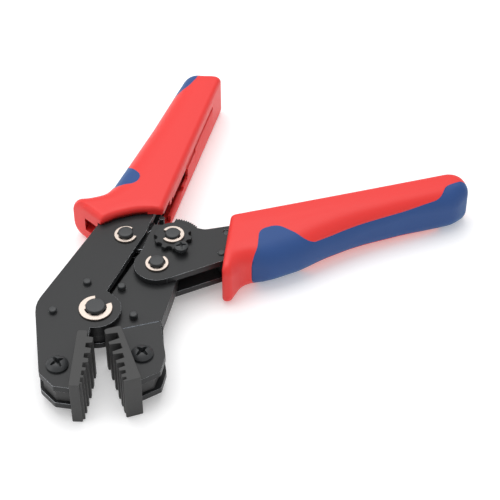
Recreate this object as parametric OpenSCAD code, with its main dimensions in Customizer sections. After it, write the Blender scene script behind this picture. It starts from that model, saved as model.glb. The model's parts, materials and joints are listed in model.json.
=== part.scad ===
// Ratchet crimping tool for wire ferrules: a riveted plate frame with a fixed
// grip, a pivoted jaw, a toggle link, a ratchet handle and a pair of side-entry
// trapezoid dies. The tool lies on its side, the opening side of its grips up
// the page, with the ground at z = 0 under the dies and grips.

/* [Overall] */
// Thickness of the dies and the grips, the widest pieces of the tool
tool_t = 19; // [16:0.5:24]
// Length of the fixed grip, from its inner front corner
fixed_grip_len = 85; // [75:1:110]
// Length of the moving grip, from its inner front corner
moving_grip_len = 92.5; // [82:0.5:120]

/* [Plates] */
// Thickness of the frame and handle plates
plate_t = 2.5; // [2:0.1:3.2]
// Space between each pair of plates
core_t = 6; // [5:0.2:8]
// Play on each side of a moving piece between two plates
layer_gap = 0.05; // [0.02:0.01:0.15]
// Radius of the frame plates round the main pivot
pivot_lobe_r = 9.2; // [7.5:0.1:9.6]
// Radius of the handle plates round the handle pin
handle_lobe_r = 8.6; // [7.5:0.1:9]
// Diameter of the rivets
rivet_d = 3; // [2.5:0.1:3.5]

/* [Linkage] */
// Place of the handle pin, from the main pivot
handle_pivot = [21.2, 23.2]; // [10:0.1:40]
// Place of the upper link pin, from the main pivot
link_pivot = [8.8, 38.6]; // [5:0.1:50]
// Place of the adjusting pin, from the main pivot
wheel_pivot = [26.7, 36.7]; // [20:0.1:50]
// Angle between the open and the closed jaw
jaw_open = 21.45; // [18:0.05:24]
// Diameter of the main pivot pin
main_pin_d = 7.2; // [6:0.1:8]
// Diameter of the other pins
small_pin_d = 5.6; // [4.5:0.1:6]
// Radial play of a pin in a piece that turns on it
running_fit = 0.04; // [0.02:0.01:0.08]
// Radial play of a pin in the plates that hold it
seat_fit = 0.02; // [0.01:0.01:0.05]
// Extra radius of the loose eye at the upper link pin
eye_slack = 0.92; // [0.9:0.02:1.2]

/* [Pins and clips] */
// How far the pins stand out of the front plates
pin_proud = 2.1; // [1.6:0.1:3]
// Thickness of the retaining clips
clip_t = 0.8; // [0.6:0.1:1]
// Outer diameter of the main clip
main_clip_d = 12.3; // [11:0.1:14]
// Outer diameter of the small clips
small_clip_d = 8.7; // [8:0.1:10]
// Depth of the clip grooves in the pins
groove_depth = 0.9; // [0.5:0.1:1.1]
// Thickness of the heads at the rear end of the pins
pin_head_t = 1.6; // [1:0.1:2.4]

/* [Adjusting wheel] */
// Radius of the adjusting wheel
wheel_r = 7.2; // [6.5:0.1:7.6]
// Thickness of the adjusting wheel
wheel_t = 1.8; // [1.4:0.1:2.4]
// Number of notches round the whole wheel
wheel_notches = 10; // [9:1:12]
// Radius of each notch
notch_r = 1.3; // [0.9:0.05:1.4]
// Head diameter of the lock screw
lock_head_d = 5.3; // [4.5:0.1:6]
// Head height of the lock screw
lock_head_h = 1.8; // [1.4:0.1:2]

/* [Ratchet] */
// Radius over the ratchet teeth, about the adjusting pin
ratchet_r = 11.3; // [10.6:0.1:12]
// Number of ratchet teeth
ratchet_teeth = 10; // [6:1:12]
// Depth of the ratchet teeth
tooth_depth = 0.7; // [0.3:0.1:0.8]
// Diameter of the pawl's cross bar
pawl_bar_d = 2; // [1.6:0.1:2.4]

/* [Dies] */
// Distance from the main pivot to the start of the dies
die_start = 14.4; // [13.5:0.1:15]
// Mouth widths of the crimping nests, largest first
nest_mouths = [3.8, 3.5, 3, 2.3, 1.8, 1.3]; // [0.8:0.1:4.5]
// Width of the land between two nests
nest_land = 1.4; // [1.2:0.05:1.6]
// Depth of a nest as a multiple of its mouth width
nest_depth_ratio = 1.1; // [0.8:0.05:1.2]
// Side play between a ridge and its nest
nest_play = 0.3; // [0.2:0.05:0.4]
// Gap between the closed dies
die_gap = 0.25; // [0.15:0.05:0.5]
// Thickness of the fixed die behind the roots of its ridges
fixed_die_back = 3.7; // [3:0.1:4.5]
// Thickness of the moving die from its face to its back
moving_die_back = 6.2; // [5.4:0.1:6.4]
// Head diameter of the die screws
screw_head_d = 8; // [6.5:0.1:8.5]
// Head height of the die screws
screw_head_h = 2.5; // [2:0.1:3]
// Rise of the die screws' heads from rim to crown
screw_crown = 1.7; // [1:0.1:2]
// Shank diameter of the die screws
screw_d = 4; // [3:0.1:5]

/* [Springs] */
// Outer diameter of the return spring
spring_d = 4.8; // [4:0.1:5]
// Wire diameter of the return spring
wire_d = 0.8; // [0.6:0.05:1]

/* [Hidden] */
$fn = 64;

// Colours
steel = "#47494b";
dark_steel = "#3a3b3d";
die_steel = "#5a5a59";
clip_steel = "#e9e2d8";
spring_steel = "#8f9296";
grip_red = "#e8483f";
grip_blue = "#33508a";

// Layers, measured from the middle plane of the tool
core_half = core_t / 2;
plate_out = core_half + plate_t;
tool_half = tool_t / 2;
link_in = 1.2;
pawl_half = link_in - layer_gap;
pawl_top = pawl_half - 0.9;
link_out = core_half - layer_gap;

// Small clearances and insets
fit = 0.15;
past = 1;
wall_step = 0.8;

// Main radii
main_pin_r = main_pin_d / 2;
small_pin_r = small_pin_d / 2;
rivet_r = rivet_d / 2;
rivet_proud = 1.4;
rivet_rear_proud = 0.6;
jaw_lobe_r = pivot_lobe_r - 0.6;
jaw_eye_r = handle_lobe_r - 0.6;
link_eye_r = 5.8;
link_half_w = 4.6;

// A unit vector, and the length of a vector
function unit(v) = v / norm(v);

// The points of a round corner of radius r at b, between a and c, limited by the shorter side
function corner(a, b, c, r) =
    let (
        to_a = unit([a.x - b.x, a.y - b.y]),
        to_c = unit([c.x - b.x, c.y - b.y]),
        half = acos(max(-1, min(1, to_a * to_c))) / 2
    )
    r == 0 || half > 89.5 ? [[b.x, b.y]] :
    let (
        side = min(norm([a.x - b.x, a.y - b.y]), norm([c.x - b.x, c.y - b.y])),
        reach = min(r / tan(half), 0.66 * side),
        fillet_r = reach * tan(half),
        centre = [b.x, b.y] + unit(to_a + to_c) * fillet_r / sin(half),
        p1 = [b.x, b.y] + to_a * reach - centre,
        p2 = [b.x, b.y] + to_c * reach - centre,
        start = atan2(p1.y, p1.x),
        raw = atan2(p2.y, p2.x) - start,
        sweep = raw > 180 ? raw - 360 : raw < -180 ? raw + 360 : raw,
        steps = max(2, ceil(abs(sweep) / 15))
    )
    [for (k = [0 : steps]) let (a = start + sweep * k / steps) centre + fillet_r * [cos(a), sin(a)]];

// An outline of points [x, y, corner radius] with its corners rounded
function rounded(pts) =
    let (n = len(pts))
    [for (i = [0 : n - 1]) each corner(pts[(i + n - 1) % n], pts[i], pts[(i + 1) % n], pts[i].z)];

// A point [along, across, radius] of a grip's own frame, laid on the plan
function from_grip(start, lean, side, p) = [
    start.x + p.x * cos(lean) - side * p.y * sin(lean),
    start.y + p.x * sin(lean) + side * p.y * cos(lean),
    p.z
];

function turn(v, a) = [v.x * cos(a) - v.y * sin(a), v.x * sin(a) + v.y * cos(a)];

// Grip frames: inner front corner, direction, and the side the palm is on
fixed_start = [22.5, 49.5];
fixed_lean = 75;
moving_start = [49, 47.4];
moving_lean = 15.8;
function fixed_pt(p) = from_grip(fixed_start, fixed_lean, 1, p);
function moving_pt(p) = from_grip(moving_start, moving_lean, -1, p);

// Tangs: the tails of the plates inside the grips
tang_inset = 17;
fixed_tang_end = fixed_grip_len - tang_inset;
moving_tang_end = moving_grip_len - tang_inset;
tang_near = 4;
fixed_tang_far = 12.5;
moving_tang_far = 12;

// Die frame: X runs from the main pivot along the closed dies, Y towards the jaw
die_lean = -92.6;
die_root = -0.9;
function die_pt(p) = concat(turn([p.x, p.y], die_lean), [p.z]);
nest_count = len(nest_mouths);
first_nest = die_start + 4.4;
function nest_at(i) =
    i == 0 ? first_nest : nest_at(i - 1) + nest_mouths[i - 1] / 2 + nest_land + nest_mouths[i] / 2;
die_end = nest_at(nest_count - 1) + nest_mouths[nest_count - 1] / 2 + 0.9;
die_face = die_root + die_gap;
fixed_back = die_root - fixed_die_back;
moving_back = die_face + moving_die_back;
ridge_height_ratio = 0.55;
nest_floor_ratio = 0.72;
ridge_tip_ratio = 0.8;
die_edge_r = 0.4;
fixed_screw_at = die_pt([27.8, -10.3, 0]);
moving_screw_at = turn(die_pt([26.8, 9.7, 0]), jaw_open);

// Rivet places
frame_rivet_places = [[-15.3, -1.2], [-3.9, 13.2]];
jaw_rivet_places = [[8.6, 12.7], [13.7, -1.8]];
handle_rivet_places = [[45.1, 29], [46.9, 40.1], moving_pt([moving_tang_end - 12, 8.2, 0])];
tang_rivet_at = fixed_pt([fixed_tang_end - 7, 8.2, 0]);

// Outline of the frame plates
frame_pts = rounded([
    [-22.2, 2.5, 14],
    fixed_pt([-3.2, 20.9, 6]),
    fixed_pt([12, 13.5, 8]),
    fixed_pt([fixed_tang_end, fixed_tang_far, 3]),
    fixed_pt([fixed_tang_end, tang_near, 3]),
    fixed_pt([0, 3.6, 0]),
    [16.3, 40.5, 25],
    [3.4, 9.2, 0.8],
    [5.4, 7.4, 0.8],
    [4, 0, 0],
    die_pt([9.3, -1, 0]),
    die_pt([die_start - fit, -1, 0.3]),
    die_pt([die_start - fit, fixed_back, 0]),
    die_pt([38.3, fixed_back, 0.6]),
    die_pt([37.6, -10.6, 1.2]),
    die_pt([31.6, -16.4, 3])
]);

// Outline of the plates of the moving jaw, above the joggle
joggle_left = [9.9, -9.4];
joggle_right = [23.5, -5.6];
joggle_w = 3;
joggle_drop = turn(unit(joggle_right - joggle_left), -90) * joggle_w;
jaw_upper_pts = rounded([
    [4.2, 8.2, 0],
    [12.9, 27.6, 3],
    [21.2, 30, 0],
    [29, 20, 3],
    [27.4, 11.4, 20],
    [joggle_right.x, joggle_right.y, 0],
    [joggle_left.x, joggle_left.y, 0],
    [0, 0, 0]
]);

// Outline of the cheeks of the moving jaw, below the joggle
function open_die_pt(p) = concat(turn(die_pt(p), jaw_open), [p.z]);
jaw_cheek_pts = rounded([
    [joggle_left.x, joggle_left.y, 0.5],
    [joggle_right.x, joggle_right.y, 0],
    [26.1, -22.8, 3],
    [24.6, -30.2, 1.2],
    open_die_pt([38.2, moving_back, 0.5]),
    open_die_pt([16.6, moving_back, 0])
]);

// Outline of the handle plates, with the ratchet teeth on the hump
hump_from = 85;
hump_to = 33;
tooth_step = (hump_from - hump_to) / ratchet_teeth;
function around_wheel(r, a) = [wheel_pivot.x + r * cos(a), wheel_pivot.y + r * sin(a), 0];
teeth_pts = [for (i = [0 : ratchet_teeth - 1]) each [
    around_wheel(ratchet_r, hump_from - i * tooth_step),
    around_wheel(ratchet_r - tooth_depth, hump_from - (i + 0.7) * tooth_step)
]];
handle_pts = rounded(concat(
    [
        [handle_pivot.x, handle_pivot.y - 4, 0],
        [13.6, 26.3, 0],
        [15.6, 31.5, 0],
        [17.2, 38, 20],
        [19.2, 44.6, 1.5],
        around_wheel(7.4, 95)
    ],
    teeth_pts,
    [
        [38.6, 41.8, 4],
        [47.6, 43.8, 20],
        moving_pt([10, tang_near, 10]),
        moving_pt([moving_tang_end, tang_near, 3]),
        moving_pt([moving_tang_end, moving_tang_far, 3]),
        moving_pt([26, 14.2, 10]),
        [45.8, 25, 8],
        [25.2, 15.5, 0]
    ]
));

// Outline of the fixed grip
fixed_grip_pts = rounded([for (p = [
    [0.2, 0, 1.5],
    [fixed_grip_len - 0.3, 0.3, 2.5],
    [fixed_grip_len - 0.4, 15.2, 5.5],
    [fixed_grip_len - 13, 17.5, 40],
    [48, 19.9, 60],
    [23, 22.9, 40],
    [10, 24.3, 10],
    [4.5, 25.6, 6],
    [1.4, 29, 8],
    [-0.4, 36, 2],
    [-3.3, 35.4, 1.4],
    [-11.4, 20.9, 1.3],
    [-6.8, 16.6, 14],
    [-2.2, 10, 20],
    [-0.3, 4, 8]
]) fixed_pt(p)]);

// Outline of the moving grip
moving_grip_pts = rounded([for (p = [
    [-0.6, 0, 2],
    [moving_grip_len - 0.2, 0, 6.5],
    [moving_grip_len + 0.4, 10.2, 5],
    [moving_grip_len - 6.5, 14.9, 9],
    [66, 15, 60],
    [48.3, 16.9, 80],
    [31.8, 20.6, 50],
    [20.4, 24.4, 20],
    [9, 26.2, 14],
    [-2, 23.9, 8],
    [-9, 30.4, 1.8],
    [-12, 28.5, 1.8],
    [-8.5, 19.7, 30]
]) moving_pt(p)]);

// Areas of the soft inlays: a lobe at the front, a strip along the palm, the rear end
fixed_inlay_pts = rounded([for (p = [
    [4.4, 38, 0],
    [6.5, 24.5, 3],
    [8.8, 20.6, 5],
    [11, 14, 4],
    [16.2, 13.8, 4],
    [22, 21.4, 5],
    [27, 22, 6],
    [48, 19.3, 60],
    [fixed_grip_len - 17, 17.1, 5],
    [fixed_grip_len - 10.5, 11.7, 6],
    [fixed_grip_len - 5, 10.1, 6],
    [fixed_grip_len + 4, 9.9, 0],
    [fixed_grip_len + 4, 38, 0]
]) fixed_pt(p)]);
moving_inlay_pts = rounded([for (p = [
    [-1.6, 34, 0],
    [0.6, 24.6, 3],
    [4.4, 20.2, 6],
    [8.2, 12.4, 4.5],
    [14, 12, 4.5],
    [19.8, 20.6, 5],
    [25.4, 21.8, 6],
    [36, 18.2, 40],
    [50.6, 15.6, 60],
    [moving_grip_len - 13.5, 13.1, 4],
    [moving_grip_len - 8.9, 8.3, 4],
    [moving_grip_len + 4, 7.3, 0],
    [moving_grip_len + 4, 34, 0]
]) moving_pt(p)]);

// Toggle link, spring and pawl places
pawl_pivot = [16.6, 46.6];
pawl_tip = around_wheel(ratchet_r + pawl_bar_d / 2 + 0.2, 112);
pawl_pin_r = 1.3;
arm_eye_r = 2.9;
eye_shift = [0.28, -0.79];
spring_low = [12.2, 46.2];
spring_post_at = fixed_pt([38, 8.4, 0]);
spring_run = [spring_post_at.x, spring_post_at.y] - spring_low;
spring_angle = atan2(spring_run.y, spring_run.x);
hook_r = 1.9;
post_r = 1.2;
hook_pin_r = 0.8;

// Place of the main pivot in the finished part: the middle of the footprint is the origin
footprint = concat(frame_pts, fixed_grip_pts, moving_grip_pts, [
    die_pt([die_end, fixed_back + die_edge_r, 0]),
    open_die_pt([die_end, moving_back - die_edge_r, 0])
]);
low = [min([for (p = footprint) p.x]), min([for (p = footprint) p.y])];
high = [max([for (p = footprint) p.x]), max([for (p = footprint) p.y])];
shift = [-(low.x + high.x) / 2, -(low.y + high.y) / 2, tool_half];

// Puts a piece drawn about the main pivot and the middle plane in its place
module place() {
    translate(shift) children();
}

// A slab from z1 to z2 with the given outline
module slab(pts, z1, z2) {
    translate([0, 0, z1]) linear_extrude(z2 - z1) polygon([for (p = pts) [p.x, p.y]]);
}

// An upright cylinder from z1 to z2
module post(at, r, z1, z2) {
    translate([at.x, at.y, z1]) cylinder(r = r, h = z2 - z1);
}

// A copy on the front and a mirrored one on the rear
module rear() {
    mirror([0, 0, 1]) children();
}

module frame_plate() {
    difference() {
        union() {
            slab(frame_pts, core_half, plate_out);
            post([0, 0], pivot_lobe_r, core_half, plate_out);
        }
        post([0, 0], main_pin_r + seat_fit, 0, tool_t);
        post(link_pivot, small_pin_r + seat_fit, 0, tool_t);
        post(fixed_screw_at, screw_d / 2 + seat_fit, 0, tool_t);
        post(spring_post_at, post_r + seat_fit, 0, tool_t);
        post(tang_rivet_at, rivet_r + seat_fit, 0, tool_t);
        for (at = frame_rivet_places) post(at, rivet_r + seat_fit, 0, tool_t);
        // pocket that lets the fixed die's head stand through the plates
        slab([
            die_pt([die_start - fit, fixed_back, 0]),
            die_pt([die_start - fit, 4, 0]),
            die_pt([die_end, 4, 0]),
            die_pt([die_end, fixed_back, 0])
        ], 0, tool_t);
    }
}

module frame_plate_front() {
    color(steel) place() frame_plate();
}

module frame_plate_rear() {
    color(steel) place() rear() frame_plate();
}

module frame_spacer() {
    color(dark_steel) place() difference() {
        slab(rounded([
            [-20.8, 2.2, 12],
            [-9.5, 25.8, 3],
            [0.4, 25.8, 3.5],
            [-5, 12, 10],
            [-10.4, 4, 6],
            [-10.4, -9, 4],
            [-19.4, -10, 2]
        ]), -core_half, core_half);
        for (at = frame_rivet_places) post(at, rivet_r + seat_fit, -tool_t, tool_t);
        post([0, 0], pivot_lobe_r + fit, -tool_t, tool_t);
    }
}

module tang_spacer() {
    color(dark_steel) place() difference() {
        slab(rounded([for (p = [
            [fixed_tang_end - 14, tang_near + wall_step, 1],
            [fixed_tang_end - wall_step, tang_near + wall_step, 2],
            [fixed_tang_end - wall_step, fixed_tang_far - wall_step, 2],
            [fixed_tang_end - 14, fixed_tang_far - wall_step, 1]
        ]) fixed_pt(p)]), -core_half, core_half);
        post(tang_rivet_at, rivet_r + seat_fit, -tool_t, tool_t);
    }
}

// A rivet through both plates with its front end standing proud
module rivet(at, low_z, high_z) {
    translate([at.x, at.y, 0]) rotate_extrude() polygon([
        [0, low_z],
        [rivet_r, low_z],
        [rivet_r, high_z - 0.5],
        [rivet_r - 0.15, high_z - 0.2],
        [rivet_r - 0.5, high_z],
        [0, high_z]
    ]);
}

module frame_rivets() {
    color(dark_steel) place() {
        for (at = frame_rivet_places) rivet(at, -plate_out - rivet_rear_proud, plate_out + rivet_proud);
        rivet(tang_rivet_at, -plate_out, plate_out);
    }
}

// A pin with a rear head and a grooved front end for a clip
module pin(at, r, groove_z, top_z) {
    chamfer = 0.4;
    head = 1.4;
    translate([at.x, at.y, 0]) rotate_extrude() polygon([
        [0, -plate_out - pin_head_t],
        [r + head - chamfer, -plate_out - pin_head_t],
        [r + head, -plate_out - pin_head_t + chamfer],
        [r + head, -plate_out],
        [r, -plate_out],
        [r, groove_z],
        [r - groove_depth, groove_z],
        [r - groove_depth, groove_z + clip_t],
        [r, groove_z + clip_t],
        [r, top_z - chamfer],
        [r - chamfer, top_z],
        [0, top_z]
    ]);
}

// A retaining clip that opens towards the given direction
module clip(at, pin_r, outer_d, z, opening) {
    groove_r = pin_r - groove_depth + seat_fit;
    free_r = pin_r + 0.3;
    mouth = 34;
    lug_w = 1.6;
    translate([at.x, at.y, z]) rotate(opening) difference() {
        linear_extrude(clip_t) difference() {
            circle(d = outer_d);
            difference() {
                circle(r = free_r);
                // three lugs that reach into the groove
                for (a = [-118, 118, 180]) rotate(a) translate([0, -lug_w / 2]) square([free_r, lug_w]);
            }
            circle(r = groove_r);
            polygon([[0, 0], outer_d * [cos(mouth), sin(mouth)], outer_d * [cos(mouth), -sin(mouth)]]);
        }
    }
}

module main_pivot_pin() {
    color(dark_steel) place() pin([0, 0], main_pin_r, plate_out, plate_out + pin_proud);
}

module main_pivot_clip() {
    color(clip_steel) place() clip([0, 0], main_pin_r, main_clip_d, plate_out, 60);
}

module link_pin() {
    color(dark_steel) place() pin(link_pivot, small_pin_r, plate_out, plate_out + pin_proud);
}

module link_pin_clip() {
    color(clip_steel) place() clip(link_pivot, small_pin_r, small_clip_d, plate_out, 20);
}

// Outline of a trapezoid that opens towards +Y, with its mouth at y = 0
function trapezoid(x, mouth, floor_w, depth) = [
    [x - mouth / 2, 0], [x - floor_w / 2, depth], [x + floor_w / 2, depth], [x + mouth / 2, 0]
];

// A die blank with rounded upright edges, from y1 to y2
module die_blank(y1, y2) {
    slab(rounded([
        [die_start, y1, 1],
        [die_end, y1, die_edge_r],
        [die_end, y2, die_edge_r],
        [die_start, y2, 1]
    ]), -tool_half, tool_half);
}

module die_fixed() {
    tongue_end = 37.2;
    color(die_steel) place() difference() {
        rotate(die_lean) union() {
            die_blank(fixed_back, die_root);
            translate([0, 0, -tool_half]) linear_extrude(tool_t)
                for (i = [0 : nest_count - 1]) {
                    base_w = nest_mouths[i] - 2 * nest_play;
                    height = nest_mouths[i] * nest_depth_ratio * ridge_height_ratio;
                    translate([0, die_root])
                        polygon(concat(
                            [[nest_at(i) + base_w / 2, -0.5], [nest_at(i) - base_w / 2, -0.5]],
                            trapezoid(nest_at(i), base_w, base_w * ridge_tip_ratio, height)
                        ));
                }
            // tongue between the frame plates
            translate([0, 0, -core_half]) linear_extrude(core_t) polygon([
                [17.5, fixed_back + past], [17.5, -15], [31, -15.2],
                [36.4, -10.2], [tongue_end, fixed_back + past]
            ]);
        }
        post(fixed_screw_at, screw_d / 2 + seat_fit, -tool_t, tool_t);
    }
}

module die_moving() {
    color(die_steel) place() difference() {
        rotate(die_lean + jaw_open) union() {
            difference() {
                die_blank(die_face, moving_back);
                translate([0, die_face, -tool_t]) linear_extrude(2 * tool_t)
                    for (i = [0 : nest_count - 1]) {
                        mouth = nest_mouths[i];
                        polygon(concat(
                            [[nest_at(i) + mouth / 2, -past], [nest_at(i) - mouth / 2, -past]],
                            trapezoid(nest_at(i), mouth, mouth * nest_floor_ratio, mouth * nest_depth_ratio)
                        ));
                    }
            }
            // tongue between the cheeks
            translate([0, 0, -core_half]) linear_extrude(core_t) polygon([
                [19, moving_back - past / 2], [19, 14.6], [31, 14.6],
                [36, 11], [37, moving_back - past / 2]
            ]);
        }
        post(moving_screw_at, screw_d / 2 + seat_fit, -tool_t, tool_t);
    }
}

// A crowned screw head on a shank, with a cross recess
module screw(at, head_r, head_h, crown, shank_r, base_z, end_z, spin) {
    dome = (head_r * head_r + crown * crown) / (2 * crown);
    slot_w = 1;
    slot_deep = 1.2;
    translate([at.x, at.y, 0]) difference() {
        union() {
            translate([0, 0, end_z]) cylinder(r = shank_r, h = base_z - end_z + head_h / 2);
            intersection() {
                translate([0, 0, base_z]) cylinder(r = head_r, h = head_h + past);
                translate([0, 0, base_z + head_h - dome]) sphere(r = dome);
            }
        }
        for (a = [0, 90]) rotate(spin + a)
            translate([-head_r * 0.5, -slot_w / 2, base_z + head_h - slot_deep])
                cube([head_r, slot_w, slot_deep + past]);
    }
}

module die_screw_fixed() {
    color(dark_steel) place()
        screw(fixed_screw_at, screw_head_d / 2, screw_head_h, screw_crown, screw_d / 2,
            plate_out, -plate_out, 20);
}

module die_screw_moving() {
    color(dark_steel) place()
        screw(moving_screw_at, screw_head_d / 2, screw_head_h, screw_crown, screw_d / 2,
            plate_out, -plate_out, 50);
}

module spring_post() {
    color(dark_steel) place() post(spring_post_at, post_r, -plate_out, plate_out);
}

// Half-plane section of the wire in the spring's end loops
module wire_section() {
    translate([hook_r - wire_d / 2, -wire_d / 2]) square(wire_d);
}

// Tension spring: its coil drawn as a tube, an open hook at the link, a loop at the post
module return_spring() {
    far = norm(spring_run);
    coil_from = hook_r + 2.2;
    coil_to = far - hook_r - 2 * wire_d;
    color(spring_steel) place() translate([spring_low.x, spring_low.y, 0]) rotate(spring_angle) {
        translate([coil_from, 0, 0]) rotate([0, 90, 0]) difference() {
            cylinder(d = spring_d, h = coil_to - coil_from);
            translate([0, 0, -past]) cylinder(d = spring_d - 2 * wire_d, h = far);
        }
        translate([far, 0, 0]) rotate_extrude() wire_section();
        rotate(85) rotate_extrude(angle = 115) wire_section();
        translate([0, hook_r - wire_d / 2, -wire_d / 2]) cube([coil_from + past, wire_d, wire_d]);
        translate([coil_to - past, hook_r - wire_d / 2, -wire_d / 2])
            cube([far - coil_to + past, wire_d, wire_d]);
    }
}

// Slot in the fixed grip for the frame plates, open at the front
module fixed_tang_slot() {
    gap_half = plate_out + fit;
    slab([for (p = [
        [-30, 3.6 - fit, 0],
        [fixed_tang_end + fit, tang_near - 0.4 - fit, 0],
        [fixed_tang_end + fit, fixed_tang_far + fit, 0],
        [11.5, 14.2 + fit, 0],
        [-3.2, 21.3 + fit, 0],
        [-30, 26.8 + fit, 0]
    ]) fixed_pt(p)], -gap_half, gap_half);
}

// Opening in the inner side of the fixed grip, where the link and pawl move
module fixed_window() {
    window_end = 33;
    wall_t = 1.2;
    slab([for (p = [
        [-9, -3, 0], [window_end, -3, 0], [window_end, 6, 0], [-9, 6, 0]
    ]) fixed_pt(p)], -core_half, core_half);
    slab([for (p = [
        [-9, -3, 0], [9, -3, 0], [9, 6, 0], [-9, 6, 0]
    ]) fixed_pt(p)], -plate_out - fit, plate_out + fit);
    // hollow behind the thin inner wall
    slab([for (p = [
        [-9, wall_t, 0], [window_end + past, wall_t, 0], [window_end + past, 6, 0], [-9, 6, 0]
    ]) fixed_pt(p)], -plate_out - fit, plate_out + fit);
    // hollow end of the guard
    slab([for (p = [
        [-20, 18, 0], [2, 20, 0], [0, 29.5, 0], [-20, 29.5, 0]
    ]) fixed_pt(p)], -core_half, core_half);
}

module fixed_grip() {
    color(grip_red) place() difference() {
        slab(fixed_grip_pts, -tool_half, tool_half);
        slab(fixed_inlay_pts, -tool_t, tool_t);
        fixed_tang_slot();
        fixed_window();
    }
}

module fixed_grip_inlay() {
    color(grip_blue) place() difference() {
        intersection() {
            slab(fixed_grip_pts, -tool_half, tool_half);
            slab(fixed_inlay_pts, -tool_t, tool_t);
        }
        fixed_tang_slot();
    }
}

// A jaw plate: a straight upper half, a joggle and a raised cheek
module jaw_plate() {
    inner_top = core_half - layer_gap;
    difference() {
        union() {
            slab(jaw_upper_pts, 0, inner_top);
            post([0, 0], jaw_lobe_r, 0, inner_top);
            post(handle_pivot, jaw_eye_r, 0, inner_top);
            slab([
                joggle_left, joggle_right,
                joggle_right + joggle_drop * 0.9 + [0.35, 0], joggle_left + joggle_drop
            ], 0, plate_out);
            slab(jaw_cheek_pts, core_half, plate_out);
        }
        post([0, 0], main_pin_r + running_fit, -past, tool_t);
        post(handle_pivot, small_pin_r + running_fit, -past, tool_t);
        post(moving_screw_at, screw_d / 2 + seat_fit, -past, tool_t);
        for (at = jaw_rivet_places) post(at, rivet_r + seat_fit, -past, tool_t);
    }
}

module jaw_plate_front() {
    color(steel) place() jaw_plate();
}

module jaw_plate_rear() {
    color(steel) place() rear() jaw_plate();
}

module jaw_rivets() {
    color(dark_steel) place()
        for (at = jaw_rivet_places)
            rivet(at, -core_half - rivet_proud, core_half + rivet_proud + rivet_rear_proud);
}

module handle_plate() {
    difference() {
        union() {
            slab(handle_pts, core_half, plate_out);
            post(handle_pivot, handle_lobe_r, core_half, plate_out);
        }
        post(handle_pivot, small_pin_r + seat_fit, 0, tool_t);
        post(wheel_pivot, small_pin_r + seat_fit, 0, tool_t);
        post(lock_at, lock_shank_r + seat_fit, 0, tool_t);
        for (at = handle_rivet_places) post(at, rivet_r + seat_fit, 0, tool_t);
    }
}

module handle_plate_front() {
    color(steel) place() handle_plate();
}

module handle_plate_rear() {
    color(steel) place() rear() handle_plate();
}

module handle_spacer() {
    color(dark_steel) place() difference() {
        slab(rounded([for (p = [
            [-7, 4.4, 2],
            [moving_tang_end - wall_step, tang_near + wall_step, 2],
            [moving_tang_end - wall_step, moving_tang_far - wall_step, 2],
            [24, 12.4, 8],
            [-3, 19, 4],
            [-10.5, 18.6, 2]
        ]) moving_pt(p)]), -core_half, core_half);
        for (at = handle_rivet_places) post(at, rivet_r + seat_fit, -tool_t, tool_t);
    }
}

module handle_rivets() {
    color(dark_steel) place() {
        rivet(handle_rivet_places[0], -plate_out - rivet_rear_proud, plate_out + rivet_rear_proud);
        for (i = [1, 2]) rivet(handle_rivet_places[i], -plate_out, plate_out);
    }
}

module handle_pin() {
    color(dark_steel) place() pin(handle_pivot, small_pin_r, plate_out, plate_out + pin_proud);
}

module adjusting_pin() {
    color(dark_steel) place()
        pin(wheel_pivot, small_pin_r, plate_out + wheel_t, plate_out + wheel_t + pin_proud - 0.5);
}

module handle_clips() {
    color(clip_steel) place() {
        clip(handle_pivot, small_pin_r, small_clip_d, plate_out, 90);
        clip(wheel_pivot, small_pin_r, small_clip_d, plate_out + wheel_t, 180);
    }
}

// The lock screw sits in one of the wheel's notches
lock_turn = -64;
lock_crown = 0.6;
lock_shank_r = notch_r - fit;
lock_at = wheel_pivot + (wheel_r + 0.4) * [cos(lock_turn), sin(lock_turn)];

module adjusting_wheel() {
    notch_step = 360 / wheel_notches;
    color(steel) place() difference() {
        post(wheel_pivot, wheel_r, plate_out, plate_out + wheel_t);
        post(wheel_pivot, small_pin_r + seat_fit, 0, tool_t);
        for (i = [-3 : 2]) let (a = lock_turn + i * notch_step)
            post(wheel_pivot + wheel_r * [cos(a), sin(a)], notch_r, 0, tool_t);
    }
}

module wheel_lock_screw() {
    color(dark_steel) place()
        screw(lock_at, lock_head_d / 2, lock_head_h, lock_crown, lock_shank_r,
            plate_out + wheel_t, core_half, 10);
}

module moving_tang_slot() {
    gap_half = plate_out + fit;
    slab([for (p = [
        [-15, 2.2, 0],
        [2, 2.2, 0],
        [10, tang_near - 0.4 - fit, 0],
        [moving_tang_end + fit, tang_near - fit, 0],
        [moving_tang_end + fit, moving_tang_far + fit, 0],
        [26, 14.6 + fit, 0],
        [0, 21.2, 0],
        [-15, 22.4, 0]
    ]) moving_pt(p)], -gap_half, gap_half);
}

module moving_grip() {
    color(grip_red) place() difference() {
        slab(moving_grip_pts, -tool_half, tool_half);
        slab(moving_inlay_pts, -tool_t, tool_t);
        moving_tang_slot();
        // relief for the head of the front rivet
        post(handle_rivet_places[0], rivet_r + fit, -tool_t, tool_t);
    }
}

module moving_grip_inlay() {
    color(grip_blue) place() difference() {
        intersection() {
            slab(moving_grip_pts, -tool_half, tool_half);
            slab(moving_inlay_pts, -tool_t, tool_t);
        }
        moving_tang_slot();
    }
}

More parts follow.
